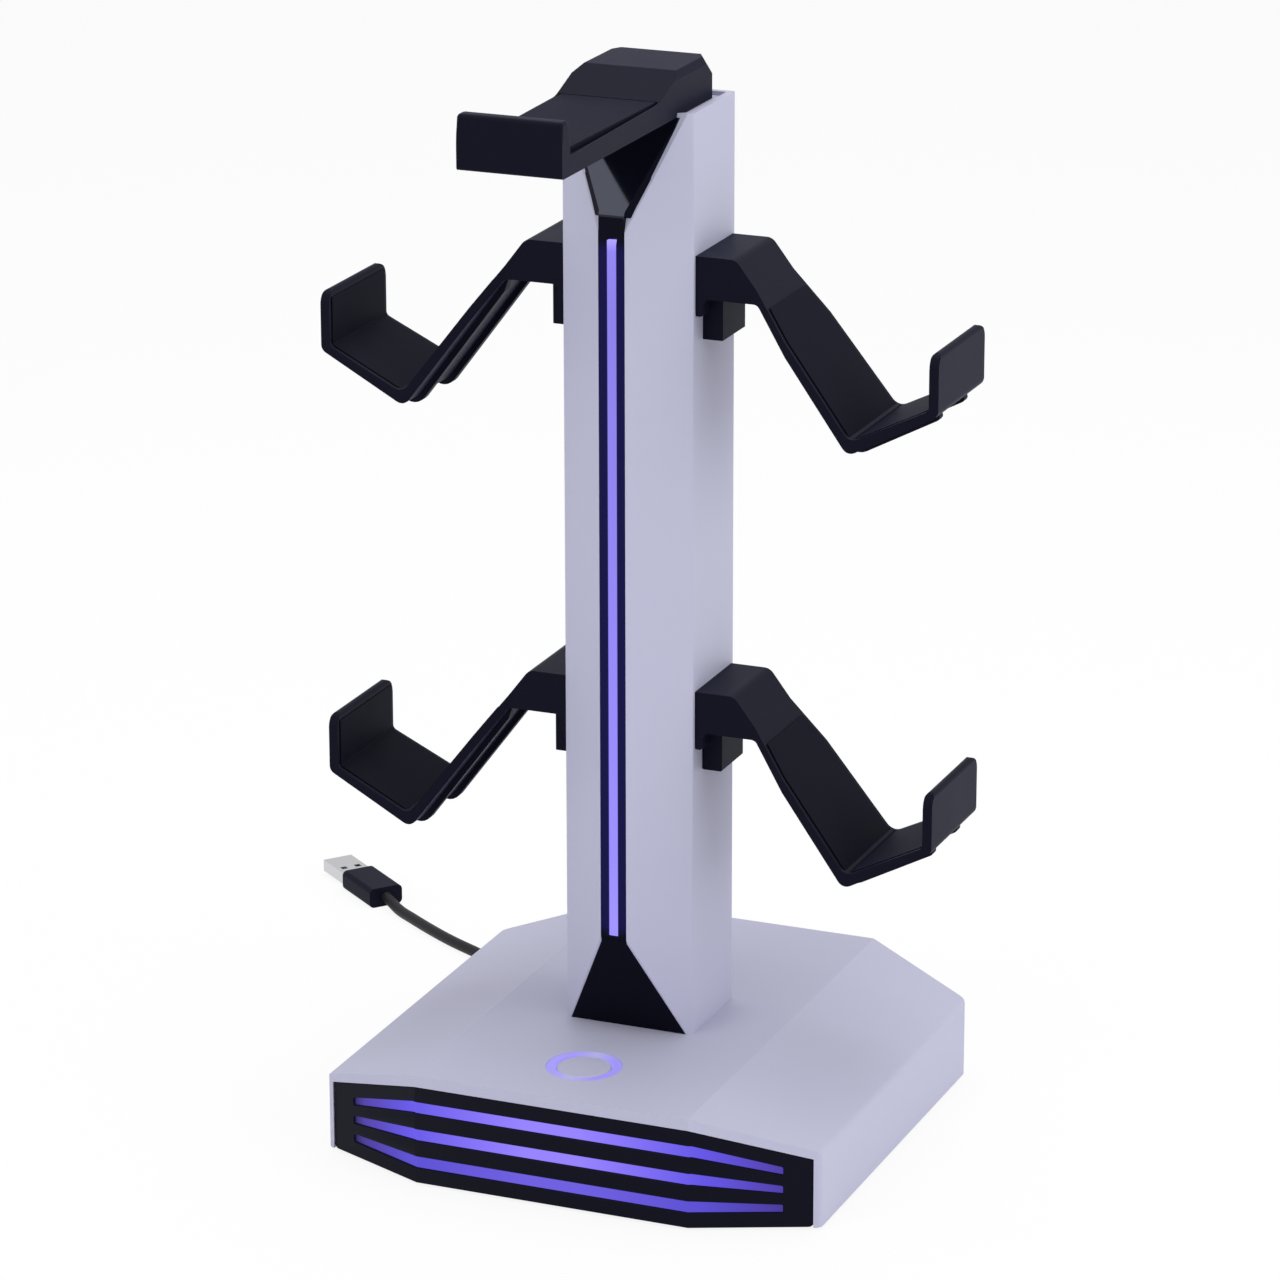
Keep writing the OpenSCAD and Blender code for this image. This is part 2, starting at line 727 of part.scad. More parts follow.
module hanger() {
    low_edge = hanger_block_h - 1.3 * block_edge;
    color(BLACK) at_post() translate([0, 0, hanger_z]) difference() {
        along_x(hanger_side(), hanger_w);
        for (side = [LEFT, RIGHT]) mirrored(side) {
            along_y([
                [hanger_w / 2 - block_edge, hanger_block_h + EPS], [hanger_w / 2 - block_edge, hanger_block_h],
                [hanger_w / 2, low_edge], [hanger_w / 2 + EPS, low_edge], [hanger_w / 2 + EPS, hanger_block_h + EPS]
            ], -saddle_back, hanger_rear + 1);
            translate([0, 0, -EPS]) linear_extrude(hanger_block_h + 2 * EPS) polygon([
                [hanger_w / 2 - side_corner, hanger_rear + EPS], [hanger_w / 2 - side_corner, hanger_rear],
                [hanger_w / 2, hanger_rear - side_corner], [hanger_w / 2 + EPS, hanger_rear - side_corner],
                [hanger_w / 2 + EPS, hanger_rear + EPS]
            ]);
            translate([hanger_w / 2 - block_edge, hanger_rear - block_corner, hanger_block_h])
                rotate([0, -30, 28]) translate([0, -20, -20]) cube([20, 40, 40]);
        }
        translate([0, 0, saddle_h - saddle_pad_t])
            linear_extrude(hanger_block_h) polygon(saddle_plan(rim_t, rim_t, fit_gap));
        for (y = hanger_screw_y)
            translate([0, y, -EPS]) cylinder(h = 8 + EPS, r = screw_r, $fn = 32);
    }
}

// The pad leaves a groove on both sides of the saddle, wider at the lip
module hanger_pad() {
    color(BLACK) at_post()
        translate([0, 0, hanger_z + saddle_h - saddle_pad_t])
            linear_extrude(saddle_pad_t + 0.2) polygon(saddle_plan(2.25, 1.35, 0));
}

module hanger_screws() {
    color(STEEL) at_post()
        for (y = hanger_screw_y)
            translate([0, y, 0]) {
                translate([0, 0, core_top - 3 - 2]) cylinder(h = 2, r = 2 * screw_r, $fn = 32);
                translate([0, 0, core_top - 3]) cylinder(h = 3 + cap_t_post + 6, r = screw_r, $fn = 32);
            }
}

// Arms are drawn out along X from the post's side, with Z down from the arm's top face
module at_arm(side, top) {
    at_post() mirrored(side) translate([half_w, arm_y, top]) children();
}

// The strap's upper face, moved in by d, from the block's top to the lip's top
function strap_top(d) =
    let (
        line = [[top_reach, 0], inner_elbow, lip_foot, [inner_reach, lip_h - lip_drop]],
        out = -d
    )
    [
        line[0] + out * left_of(unit(line[1] - line[0])),
        moved_in(line[1], line[0], line[2], out),
        moved_in(line[2], line[1], line[3], out),
        line[3] + out * left_of(unit(line[3] - line[2]))
    ];

function arm_section() = rounded([
    [0, 0], [0, -flange_drop], [flange_reach, -flange_drop], [flange_reach, -block_h],
    [block_reach, -block_h], [elbow_reach, -elbow_drop], [arm_reach, -lip_drop],
    [arm_reach, lip_h - lip_drop], [inner_reach, lip_h - lip_drop], lip_foot, inner_elbow, [top_reach, 0]
], [0, 0.6, 0.8, 2, 3, 3.5, 3, 1.6, 1.6, 2, 4, 4]);

// The arm's plan, inset by d: it flares beyond the block and is widest at its lowest corner
module arm_plan(d) {
    line = [
        [0, arm_root_w / 2], [block_reach, arm_root_w / 2], [flare_reach, flare_w / 2],
        [elbow_reach, arm_elbow_w / 2], [arm_reach, arm_lip_w / 2]
    ];
    translate([0, 0, -elbow_drop - 5]) linear_extrude(elbow_drop + 10) polygon([
        for (p = line) [p[0], d - p[1]],
        for (i = [len(line) - 1 : -1 : 0]) [line[i][0], line[i][1] - d]
    ]);
}

// Trims the lip's two upper corners to the radius r
module lip_corners(r, x0, x1, half, high) {
    for (s = [-1, 1])
        difference() {
            translate([x0, s > 0 ? half - r : -half - EPS, high - r])
                cube([x1 - x0, r + EPS, r + EPS]);
            translate([x0 - 1, s * (half - r), high - r])
                rotate([0, 90, 0]) cylinder(h = x1 - x0 + 2, r = r, $fn = 48);
        }
}

module arm(side, top) {
    half = arm_elbow_w / 2;
    color(BLACK) at_arm(side, top) difference() {
        union() {
            intersection() {
                along_y(arm_section(), -half - 1, half + 1);
                arm_plan(0);
            }
            for (y = [-rib_offset, rib_offset])
                along_y(rib_section(), y - rib_w / 2, y + rib_w / 2);
        }
        intersection() {
            along_y(pad_section(0, EPS), -half, half);
            arm_plan(pad_border);
        }
        lip_corners(lip_r, inner_reach - 0.2, arm_reach + EPS, arm_lip_w / 2, lip_h - lip_drop);
        translate([-EPS, -tab_w / 2 - fit_gap, -flange_drop - EPS])
            cube([tab_t + fit_gap + EPS, tab_w + 2 * fit_gap, flange_drop - tab_top + fit_gap + EPS]);
    }
}

// A rib follows the underside of the strap from the block to the lip's foot
function rib_section() =
    let (
        slope = unit([elbow_reach - block_reach, block_h - elbow_drop]),
        riser = unit([arm_reach - elbow_reach, elbow_drop - lip_drop]),
        start = [block_reach, -block_h] - rib_h * 0.2 * left_of(slope),
        low = moved_in([elbow_reach, -elbow_drop], [block_reach, -block_h], [arm_reach, -lip_drop], -rib_h),
        end = [arm_reach - 3, -lip_drop - 3 * riser_tan]
    )
    rounded([
        start + 1.5 * left_of(slope), start, start + 5 * slope - rib_h * 0.8 * left_of(slope), low,
        end - rib_h * left_of(riser), end + 1.5 * left_of(riser),
        [elbow_reach, 2.5 - elbow_drop]
    ], [0, 0, 2, 5, 1.5, 0, 0]);

// The pad's section between the strap's upper face, moved in by d, and its bed
function pad_section(d, proud) =
    let (
        low = strap_top(pad_t),
        high = strap_top(d - proud),
        start = [pad_start, 0],
        t0 = (start[0] - low[0][0]) / (low[1][0] - low[0][0]),
        t1 = (start[0] - high[0][0]) / (high[1][0] - high[0][0])
    )
    [
        low[0] + t0 * (low[1] - low[0]), low[1], low[2], low[3] - [0, 2.4],
        high[3] - [0, 2.4], high[2], high[1], high[0] + t1 * (high[1] - high[0])
    ];

module arm_pad(side, top) {
    half = arm_elbow_w / 2;
    color(BLACK) at_arm(side, top) intersection() {
        along_y(pad_section(0.1, 0), -half, half);
        arm_plan(pad_border + fit_gap);
    }
}

// The socket that an arm hangs on: a tab outside, a neck through the wall and a foot on the core
module arm_socket(side, top) {
    depth = half_w - core_w / 2;
    color(BLACK) at_arm(side, top) difference() {
        union() {
            translate([0, -tab_w / 2, -tab_drop]) cube([tab_t, tab_w, tab_drop - tab_top]);
            translate([-depth, -neck_w / 2, -neck_low]) cube([depth + EPS, neck_w, neck_low - tab_top]);
        }
        translate([-depth - EPS, 0, -neck_low + 6])
            rotate([0, 90, 0]) cylinder(h = 6, r = screw_r + fit_gap, $fn = 32);
    }
}

// A round cord along a route: one ring of points at each of its places
function route_way(route, i) =
    unit(route[min(i + 1, len(route) - 1)] - route[max(i - 1, 0)]);
function ring(route, i, r, sides) =
    let (
        way = route_way(route, i),
        across = unit(cross(way, [0, 0, 1])),
        over = cross(across, way)
    )
    [for (k = [0 : sides - 1]) route[i] + r * (across * cos(360 * k / sides) + over * sin(360 * k / sides))];

module cord(route, sides = 10) {
    n = len(route);
    polyhedron(
        [for (i = [0 : n - 1]) each ring(route, i, cord_d / 2, sides)],
        [
            [for (k = [sides - 1 : -1 : 0]) k],
            for (i = [0 : n - 2], k = [0 : sides - 1])
                let (a = i * sides, j = (k + 1) % sides)
                [a + k, a + j, a + sides + j, a + sides + k],
            [for (k = [0 : sides - 1]) (n - 1) * sides + k]
        ]
    );
}

module cord_lead() {
    color(BLACK) cord(lead_route);
}

module cord_tail() {
    color(BLACK) cord(tail_route);
}

// The outer shape of the coil, two layers of four turns
module cord_coil() {
    color(BLACK) translate([coil_x, coil_y, 0]) rotate_extrude($fn = 72)
        translate([coil_inner_turn - cord_d / 2, 0]) square([coil_across * cord_d, coil_layers * cord_d]);
}

// The tapered strain relief in the base's back wall
module cord_gland() {
    wall_in = base_wall + 2;
    color(BLACK) translate([gland_x, base_back_y, gland_z]) rotate([-90, 0, 0])
        rotate_extrude($fn = 48) polygon([
            [cord_d / 2, -wall_in], [cord_d / 2 + 2.4, -wall_in], [cord_d / 2 + 2.4, -base_wall - fit_gap],
            [cord_d / 2 + 1.4, -base_wall - fit_gap], [cord_d / 2 + 1.4, 0.2], [cord_d / 2 + 2.2, 0.2],
            [cord_d / 2 + 2.2, 1.6], [cord_d / 2 + 0.6, relief_l], [cord_d / 2, relief_l]
        ]);
}

// The plug lies at the end of the lead, its length along X before it is turned
module at_plug() {
    translate([plug_at[0], plug_at[1], 0]) rotate([0, 0, plug_turn]) children();
}

module plug_body() {
    color(BLACK) at_plug() difference() {
        translate([0, 0, plug_h / 2]) rotate([90, 0, 90]) linear_extrude(plug_l) polygon(rounded([
            [-plug_w / 2, -plug_h / 2], [plug_w / 2, -plug_h / 2],
            [plug_w / 2, plug_h / 2], [-plug_w / 2, plug_h / 2]
        ], [2, 2, 2, 2]));
        translate([plug_l - 4, -shell_w / 2, (plug_h - shell_h) / 2]) cube([4 + EPS, shell_w, shell_h]);
    }
}

module plug_shell() {
    color(STEEL) at_plug() translate([plug_l - 4, 0, plug_h / 2]) difference() {
        translate([0, -shell_w / 2, -shell_h / 2]) cube([shell_l + 4, shell_w, shell_h]);
        translate([1, -shell_w / 2 + shell_t, -shell_h / 2 + shell_t])
            cube([shell_l + 4, shell_w - 2 * shell_t, shell_h - 2 * shell_t]);
        for (z = [-1, 1], y = [-1, 1])
            translate([4 + 5.5, y * 2.9 - 1.2, z > 0 ? shell_h / 2 - shell_t - 0.1 : -shell_h / 2 - 0.1])
                cube([2.4, 2.4, shell_t + 0.2]);
    }
}

module plug_tongue() {
    color(WHITE) at_plug()
        translate([plug_l - 3, -shell_w / 2 + shell_t, plug_h / 2 - shell_h / 2 + shell_t])
            cube([shell_l + 2.4, shell_w - 2 * shell_t, 1.9]);
}

base_shell();
base_plate();
ballast();
front_panel();
light_stripe(0);  // stripe_low
light_stripe(1);  // stripe_mid
light_stripe(2);  // stripe_high
stripe_board();
main_board();
mode_switch();
mode_button();
button_ring();
rubber_foot(LEFT, foot_front);  // foot_front_left
rubber_foot(RIGHT, foot_front);  // foot_front_right
rubber_foot(LEFT, foot_rear);  // foot_rear_left
rubber_foot(RIGHT, foot_rear);  // foot_rear_right
base_screws();
post_side(LEFT);  // post_left
post_side(RIGHT);  // post_right
post_spine();
post_bar();
post_board();
post_back();
post_cap();
post_core();
hanger();
hanger_pad();
hanger_screws();
arm(LEFT, arm_top);  // arm_upper_left
arm(RIGHT, arm_top);  // arm_upper_right
arm(LEFT, arm_top - arm_spacing);  // arm_lower_left
arm(RIGHT, arm_top - arm_spacing);  // arm_lower_right
arm_pad(LEFT, arm_top);  // pad_upper_left
arm_pad(RIGHT, arm_top);  // pad_upper_right
arm_pad(LEFT, arm_top - arm_spacing);  // pad_lower_left
arm_pad(RIGHT, arm_top - arm_spacing);  // pad_lower_right
arm_socket(LEFT, arm_top);  // socket_upper_left
arm_socket(RIGHT, arm_top);  // socket_upper_right
arm_socket(LEFT, arm_top - arm_spacing);  // socket_lower_left
arm_socket(RIGHT, arm_top - arm_spacing);  // socket_lower_right
cord_gland();
cord_lead();
cord_coil();
cord_tail();
plug_body();
plug_shell();
plug_tongue();
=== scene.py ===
"""The looks of a game controller stand: finishes, rounded edges, the lead, a stage and a camera."""
import json
import math

import bpy
from bpy.props import FloatProperty, FloatVectorProperty, IntProperty, PointerProperty
from mathutils import Matrix, Vector

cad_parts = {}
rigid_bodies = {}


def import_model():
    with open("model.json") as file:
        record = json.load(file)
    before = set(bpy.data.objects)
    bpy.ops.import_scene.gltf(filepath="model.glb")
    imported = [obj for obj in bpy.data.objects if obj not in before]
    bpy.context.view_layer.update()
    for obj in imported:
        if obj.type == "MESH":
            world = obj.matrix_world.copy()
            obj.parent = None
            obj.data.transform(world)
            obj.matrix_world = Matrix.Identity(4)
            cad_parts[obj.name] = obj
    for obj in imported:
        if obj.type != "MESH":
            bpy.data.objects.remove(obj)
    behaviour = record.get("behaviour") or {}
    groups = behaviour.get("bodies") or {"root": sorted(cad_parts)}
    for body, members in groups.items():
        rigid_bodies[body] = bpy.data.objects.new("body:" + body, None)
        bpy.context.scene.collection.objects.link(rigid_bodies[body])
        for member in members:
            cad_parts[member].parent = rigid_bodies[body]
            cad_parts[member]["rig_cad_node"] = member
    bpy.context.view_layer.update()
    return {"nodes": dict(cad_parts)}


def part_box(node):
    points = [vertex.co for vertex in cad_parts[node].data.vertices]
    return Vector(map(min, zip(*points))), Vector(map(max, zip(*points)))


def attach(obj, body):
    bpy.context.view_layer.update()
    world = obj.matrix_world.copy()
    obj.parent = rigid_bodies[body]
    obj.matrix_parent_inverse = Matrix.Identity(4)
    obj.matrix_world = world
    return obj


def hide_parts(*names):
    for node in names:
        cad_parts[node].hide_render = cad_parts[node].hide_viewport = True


bl_info = {
    "name": "Controller stand",
    "version": (1, 0, 0),
    "blender": (4, 5, 0),
    "location": "View3D > Sidebar > Stand",
    "description": "Builds the visible pieces of a lit controller stand around its solid model",
    "category": "Object",
}

MM = 0.001
SIDES = {"left": -1, "right": 1}
LEVELS = ("upper", "lower")
# Blue tint on the black finishes' specular reflection: a painted bluish reflection of the light above, not a colour of
# the plastic.
PAINTED_BLUE_REFLECTION = (0.75, 0.8, 1.0)

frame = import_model()
BODY = "stand"


def colour(name, about, default):
    """A colour that a user may change."""
    return FloatVectorProperty(name=name, description=about, subtype="COLOR", size=3, min=0, max=1, default=default)


def length(name, about, default):
    """A length in metres that a user may change."""
    return FloatProperty(name=name, description=about, unit="LENGTH", precision=5, min=0, default=default)


class StandFinish(bpy.types.PropertyGroup):
    """Colours and fine sizes of the stand's surfaces."""

    white: colour("Shells", "Cool white of the base and post", (0.485, 0.487, 0.62))
    black: colour("Black plastic", "Arms and hanger", (0.0045, 0.005, 0.0115))
    pad: colour("Soft pads", "Rubber let into the arms and hanger", (0.004, 0.0045, 0.009))
    gloss: colour("Gloss black", "Band, facets and front panel", (0.003, 0.003, 0.008))
    lead: colour("Lead", "Jacket of the cord", (0.01, 0.01, 0.013))
    glow_mid: colour("Light, middle", "Light where it is brightest", (0.30, 0.22, 1.0))
    glow: colour("Light", "Light along most of a stripe", (0.12, 0.085, 0.78))
    glow_end: colour("Light, ends", "Light at the ends of a stripe", (0.07, 0.04, 0.36))
    glow_bar: colour("Light, post", "Light of the bar up the post", (0.28, 0.235, 0.88))
    glow_ring: colour("Light, ring", "Light of the ring round the button", (0.34, 0.30, 0.88))
    shell_edge: length("Shell edge", "Rounding of the white edges", 0.8 * MM)
    arm_edge: length("Arm edge", "Rounding of the black edges", 0.6 * MM)
    pad_edge: length("Pad edge", "Rounding of the pads' edges", 0.35 * MM)
    grain: length("Grain", "Width of the moulded texture's grains", 0.35 * MM)


class StandLead(bpy.types.PropertyGroup):
    """Sizes of the lead."""

    diameter: length("Diameter", "Thickness of the lead", 4.2 * MM)
    rings: IntProperty(name="Rings", description="Turns beside each other in the coil", min=1, default=4)
    turn_points: IntProperty(name="Points a turn", description="Points of the line in one turn", min=12, default=20)


class StandStage(bpy.types.PropertyGroup):
    """Light and camera."""

    ambient: FloatProperty(name="Ambient", description="Strength of the even light", min=0, default=0.62)
    overhead: FloatProperty(name="Overhead", description="Power of the softbox above", unit="POWER", min=0, default=11)
    side: FloatProperty(name="Side", description="Power of the softbox on the right", unit="POWER", min=0, default=9)
    front: FloatProperty(name="Front", description="Power of the softbox in front", unit="POWER", min=0, default=6)
    lens: FloatProperty(name="Lens", description="Focal length in millimetres", min=10, default=156.87)


def settings():
    """The three groups of settings."""
    scene = bpy.context.scene
    return scene.stand_finish, scene.stand_lead, scene.stand_stage


def only(obj):
    """Makes obj the one selected and active object."""
    bpy.ops.object.select_all(action="DESELECT")
    obj.select_set(True)
    bpy.context.view_layer.objects.active = obj


def modify(obj, kind, **values):
    """Adds a modifier with these values and applies it."""
    only(obj)
    bpy.ops.object.modifier_add(type=kind)
    modifier = obj.modifiers[-1]
    for key, value in values.items():
        setattr(modifier, key, value)
    bpy.ops.object.modifier_apply(modifier=modifier.name)


def smooth(obj, angle=30):
    """Smooth shading that stays crisp past the angle, with the large faces kept flat."""
    only(obj)
    bpy.ops.object.shade_smooth_by_angle(angle=math.radians(angle))
    modify(obj, "WEIGHTED_NORMAL", keep_sharp=True, weight=80)


def wear(obj, material):
    """Gives the whole piece one material."""
    obj.data.materials.clear()
    obj.data.materials.append(material)


def clean_copy(node, name):
    """A copy of a solid's mesh, with its loose triangles merged into whole faces."""
    source = frame["nodes"][node]
    only(source)
    bpy.ops.object.duplicate()
    piece = bpy.context.active_object
    piece.name = name
    piece.data.name = name
    del piece["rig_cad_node"]
    bpy.ops.object.parent_clear(type="CLEAR_KEEP_TRANSFORM")
    bpy.ops.object.mode_set(mode="EDIT")
    bpy.ops.mesh.select_all(action="SELECT")
    bpy.ops.mesh.remove_doubles(threshold=0.002 * MM)
    bpy.ops.mesh.customdata_custom_splitnormals_clear()
    bpy.ops.mesh.dissolve_limited(angle_limit=math.radians(0.5))
    bpy.ops.object.mode_set(mode="OBJECT")
    return piece


def round_edges(piece, width, picked, segments=4):
    """Rounds the edges that picked accepts, given an edge's two ends."""
    only(piece)
    bpy.ops.object.mode_set(mode="EDIT")
    bpy.ops.mesh.select_mode(type="EDGE")
    bpy.ops.mesh.select_all(action="DESELECT")
    bpy.ops.object.mode_set(mode="OBJECT")
    mesh = piece.data
    for edge in mesh.edges:
        edge.select = picked(*(mesh.vertices[i].co for i in edge.vertices))
    bpy.ops.object.mode_set(mode="EDIT")
    bpy.ops.mesh.bevel(offset=width, segments=segments, affect="EDGES", clamp_overlap=True)
    bpy.ops.object.mode_set(mode="OBJECT")


def shift(piece, picked, by):
    """Moves the vertices that picked accepts."""
    for vertex in piece.data.vertices:
        if picked(vertex.co):
            vertex.co += by


def raised(piece, picked, height):
    """Lifts the faces that picked accepts off the piece by a height."""
    only(piece)
    bpy.ops.object.mode_set(mode="EDIT")
    bpy.ops.mesh.select_mode(type="FACE")
    bpy.ops.mesh.select_all(action="DESELECT")
    bpy.ops.object.mode_set(mode="OBJECT")
    for face in piece.data.polygons:
        face.select = picked(face.normal)
    bpy.ops.object.mode_set(mode="EDIT")
    bpy.ops.transform.shrink_fatten(value=height)
    bpy.ops.object.mode_set(mode="OBJECT")


def rounded(node, name, material, edge, angle=30, segments=3, body=BODY, first=(), moved=(), lifted=()):
    """A copy of a solid with its sharp edges rounded, which stands for the solid.

    moved holds moves, each a test that picks vertices and the way they go, lifted holds faces and the
    height they rise by, and first holds wider roundings, each a width and a test that picks its edges.
    """
    piece = clean_copy(node, name)
    for picked, by in moved:
        shift(piece, picked, by)
    for picked, height in lifted:
        raised(piece, picked, height)
    for width, picked in first:
        round_edges(piece, width, picked)
    if edge:
        modify(piece, "BEVEL", width=edge, segments=segments, limit_method="ANGLE",
               angle_limit=math.radians(angle), use_clamp_overlap=True, miter_outer="MITER_ARC")
    smooth(piece)
    wear(piece, material)
    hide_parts(node)
    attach(piece, body)
    return piece


def in_finish(node, material):
    """Gives a solid that shows as it is a finish."""
    wear(frame["nodes"][node], material)


class Nodes:
    """A short way to place and link the nodes of a material or group."""

    def __init__(self, tree):
        self.tree = tree

    def add(self, kind, **values):
        node = self.tree.nodes.new(kind)
        for key, value in values.items():
            setattr(node, key, value)
        return node

    def link(self, output, socket):
        self.tree.links.new(output, socket)

    def math(self, operation, a, b):
        node = self.add("ShaderNodeMath", operation=operation)
        for socket, value in zip(node.inputs, (a, b)):
            if isinstance(value, (int, float)):
                socket.default_value = value
            else:
                self.link(value, socket)
        return node.outputs[0]


def grain_group():
    """Fine moulded grain: a height, and the same grain as a change of roughness and of colour."""
    found = bpy.data.node_groups.get("moulded grain")
    if found:
        return found
    tree = bpy.data.node_groups.new("moulded grain", "ShaderNodeTree")
    face = tree.interface
    for name, default in (("Size", 0.35 * MM), ("Roughness", 0.5), ("Variation", 0.1)):
        face.new_socket(name, in_out="INPUT", socket_type="NodeSocketFloat").default_value = default
    face.new_socket("Color", in_out="INPUT", socket_type="NodeSocketColor")
    face.new_socket("Color", in_out="OUTPUT", socket_type="NodeSocketColor")
    face.new_socket("Roughness", in_out="OUTPUT", socket_type="NodeSocketFloat")
    face.new_socket("Height", in_out="OUTPUT", socket_type="NodeSocketFloat")
    n = Nodes(tree)
    given = n.add("NodeGroupInput")
    result = n.add("NodeGroupOutput")
    place = n.add("ShaderNodeTexCoord")
    scale = n.math("DIVIDE", 1.0, given.outputs["Size"])
    fine = n.add("ShaderNodeTexNoise")
    fine.inputs["Detail"].default_value = 2
    n.link(place.outputs["Object"], fine.inputs["Vector"])
    n.link(scale, fine.inputs["Scale"])
    broad = n.add("ShaderNodeTexNoise")
    broad.inputs["Scale"].default_value = 22
    broad.inputs["Detail"].default_value = 3
    n.link(place.outputs["Object"], broad.inputs["Vector"])
    mottle = n.math("SUBTRACT", broad.outputs["Fac"], 0.5)
    change = n.math("MULTIPLY", mottle, given.outputs["Variation"])
    rough = n.math("ADD", given.outputs["Roughness"], change)
    n.link(rough, result.inputs["Roughness"])
    lift = n.math("ADD", n.math("MULTIPLY", change, 0.5), 1.0)
    tint = n.add("ShaderNodeVectorMath", operation="SCALE")
    n.link(given.outputs["Color"], tint.inputs[0])
    n.link(lift, tint.inputs["Scale"])
    n.link(tint.outputs["Vector"], result.inputs["Color"])
    n.link(fine.outputs["Fac"], result.inputs["Height"])
    return tree


def grained(name, base, roughness, size, depth, variation=0.1, specular=0.5, shine=(1, 1, 1)):
    """A moulded plastic or rubber with fine grain."""
    found = bpy.data.materials.get(name)
    if found:
        return found
    material = bpy.data.materials.new(name)
    material.use_nodes = True
    n = Nodes(material.node_tree)
    shader = material.node_tree.nodes["Principled BSDF"]
    shader.inputs["Specular IOR Level"].default_value = specular
    # A blue shine passed in here is a painted bluish reflection set into the specular tint.
    shader.inputs["Specular Tint"].default_value = (*shine, 1)
    grain = n.add("ShaderNodeGroup", node_tree=grain_group())
    grain.inputs["Size"].default_value = size
    grain.inputs["Roughness"].default_value = roughness
    grain.inputs["Variation"].default_value = variation
    grain.inputs["Color"].default_value = (*base, 1)
    bump = n.add("ShaderNodeBump")
    bump.inputs["Strength"].default_value = 0.6
    bump.inputs["Distance"].default_value = depth
    n.link(grain.outputs["Color"], shader.inputs["Base Color"])
    n.link(grain.outputs["Roughness"], shader.inputs["Roughness"])
    n.link(grain.outputs["Height"], bump.inputs["Height"])
    n.link(bump.outputs["Normal"], shader.inputs["Normal"])
    return material


def white_shell():
    """Satin cool white of the base and post."""
    finish = settings()[0]
    return grained("white shell", finish.white, 0.5, finish.grain, 0.01 * MM, 0.06, 0.3)


def with_painted_blue_sheen(material, weight):
    """Adds a faint blue sheen at flat angles: a painted bluish reflection of the light above, not a colour of the
    black.
    """
    shader = material.node_tree.nodes["Principled BSDF"]
    shader.inputs["Sheen Weight"].default_value = weight
    shader.inputs["Sheen Roughness"].default_value = 0.4
    shader.inputs["Sheen Tint"].default_value = (0.4, 0.45, 1, 1)
    return material


def black_plastic():
    """Matt black of the arms and the hanger."""
    finish = settings()[0]
    # Painted blue sheen on top of the black, standing in for a bluish reflection.
    return with_painted_blue_sheen(grained("black plastic", finish.black, 0.5, finish.grain, 0.03 * MM, 0.12, 0.06, PAINTED_BLUE_REFLECTION), 0.06)


def soft_pad():
    """Soft black of the pads."""
    finish = settings()[0]
    # Painted blue sheen on top of the pad's black, standing in for a bluish reflection.
    return with_painted_blue_sheen(grained("soft pad", finish.pad, 0.62, 0.6 * MM, 0.05 * MM, 0.15, 0.045, PAINTED_BLUE_REFLECTION), 0.05)


def gloss_black():
    """Gloss black of the band up the post."""
    finish = settings()[0]
    return grained("gloss black", finish.gloss, 0.16, 2 * MM, 0.001 * MM, 0.03, 0.06, PAINTED_BLUE_REFLECTION)


def facet_black():
    """High gloss of the sloping facet under the hanger."""
    finish = settings()[0]
    return grained("facet black", finish.gloss, 0.06, 2 * MM, 0.0005 * MM, 0.02, 0.5, PAINTED_BLUE_REFLECTION)


def panel_black():
    """Satin black of the front panel."""
    finish = settings()[0]
    return grained("panel black", finish.gloss, 0.4, finish.grain, 0.01 * MM, 0.06, 0.09, PAINTED_BLUE_REFLECTION)


def cord_jacket():
    """Matt jacket of the lead."""
    finish = settings()[0]
    return grained("cord jacket", finish.lead, 0.5, 0.5 * MM, 0.02 * MM, 0.1, 0.25)


def metal(name, base, roughness, size):
    """A plated metal with a fine brushed change of roughness."""
    material = grained(name, base, roughness, size, 0.004 * MM, 0.12)
    material.node_tree.nodes["Principled BSDF"].inputs["Metallic"].default_value = 1
    return material


def lit(name, axis, reach, stops):
    """A lit diffuser whose light changes along one axis."""
    material = bpy.data.materials.new(name)
    material.use_nodes = True
    shader = material.node_tree.nodes["Principled BSDF"]
    shader.inputs["Roughness"].default_value = 0.35
    shader.inputs["Base Color"].default_value = (0.01, 0.008, 0.03, 1)
    shader.inputs["Specular IOR Level"].default_value = 0.1
    return shine_out(material, axis, reach, stops)


def shine_out(material, axis, reach, stops):
    """Gives a material its own light, by colours at shares of the way along one axis."""
    n = Nodes(material.node_tree)
    shader = material.node_tree.nodes["Principled BSDF"]
    place = n.add("ShaderNodeTexCoord")
    part = n.add("ShaderNodeSeparateXYZ")
    n.link(place.outputs["Object"], part.inputs[0])
    low, high = reach
    span = n.add("ShaderNodeMapRange")
    span.inputs["From Min"].default_value = low
    span.inputs["From Max"].default_value = high
    n.link(part.outputs[axis], span.inputs["Value"])
    ramp = n.add("ShaderNodeValToRGB")
    n.link(span.outputs["Result"], ramp.inputs["Fac"])
    elements = ramp.color_ramp.elements
    while len(elements) > 1:
        elements.remove(elements[-1])
    elements[0].position = stops[0][0]
    elements[0].color = (*stops[0][1], 1)
    for position, value in stops[1:]:
        elements.new(position).color = (*value, 1)
    n.link(ramp.outputs["Color"], shader.inputs["Emission Color"])
    shader.inputs["Emission Strength"].default_value = 1
    return material


